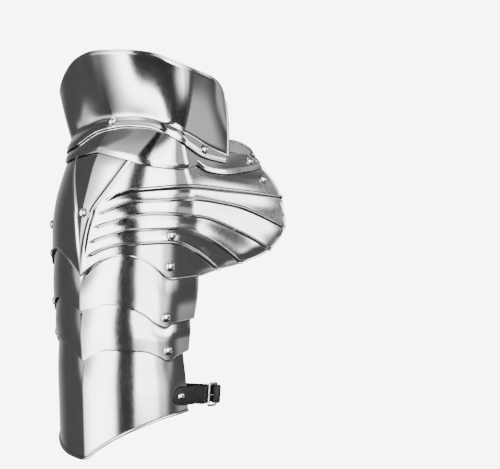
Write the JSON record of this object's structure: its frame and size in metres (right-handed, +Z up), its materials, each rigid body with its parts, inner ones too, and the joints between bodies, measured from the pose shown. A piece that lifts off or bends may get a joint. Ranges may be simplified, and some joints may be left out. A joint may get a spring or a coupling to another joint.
{
  "type": "pauldron",
  "caption": "Polished steel shoulder plate with raised fluted front, upright neck guard, articulated arm lames and a buckled arm strap.",
  "frame": {"origin": "the wearer's shoulder top, in the neck opening under the foot of the neck guard: mount shoulder_seat", "axes": "+Z up, -X outwards to the keel, -Y to the fluted front, +X towards the neck"},
  "size_m": [0.1864, 0.2163, 0.3737],
  "materials": {
    "plate_steel": "mirror polished bare steel",
    "rivet_steel": "polished steel rivets and buckle",
    "leather": "black strap leather, semi-matt"
  },
  "bodies": {
    "shoulder": {"main_plate": "plate_steel", "upper_lame": "plate_steel", "haute_piece": "plate_steel", "rivet_pivot_1_front": "rivet_steel", "rivet_pivot_1_back": "rivet_steel", "rivet_side_front": "rivet_steel", "rivet_side_back": "rivet_steel", "rivet_upper_front": "rivet_steel", "rivet_upper_back": "rivet_steel", "rivet_chest_front": "rivet_steel", "rivet_chest_back": "rivet_steel", "rivet_flange_front": "rivet_steel", "rivet_flange_back": "rivet_steel", "rivet_keel": "rivet_steel", "rivet_flange_keel": "rivet_steel"},
    "lame_1": {"lame_1": "plate_steel", "rivet_pivot_2_front": "rivet_steel", "rivet_pivot_2_back": "rivet_steel"},
    "lame_2": {"lame_2": "plate_steel", "rivet_pivot_3_front": "rivet_steel", "rivet_pivot_3_back": "rivet_steel"},
    "lower_lame": {"lower_lame": "plate_steel", "strap_front": "leather", "strap_back": "leather", "buckle_frame": "rivet_steel", "buckle_tongue": "rivet_steel", "rivet_strap_front": "rivet_steel", "rivet_strap_back": "rivet_steel"}
  },
  "joints": [
    {"name": "lame_1_pivot", "type": "hinge", "parent": "shoulder", "child": "lame_1", "pos_m": [-0.0275, 0, -0.11727], "axis": [0, 1, 0], "range_deg": [0, 5]},
    {"name": "lame_2_pivot", "type": "hinge", "parent": "lame_1", "child": "lame_2", "pos_m": [-0.0304, 0, -0.16369], "axis": [0, 1, 0], "range_deg": [0, 5]},
    {"name": "lower_lame_pivot", "type": "hinge", "parent": "lame_2", "child": "lower_lame", "pos_m": [-0.02792, 0, -0.19492], "axis": [0, 1, 0], "range_deg": [0, 5]}
  ]
}
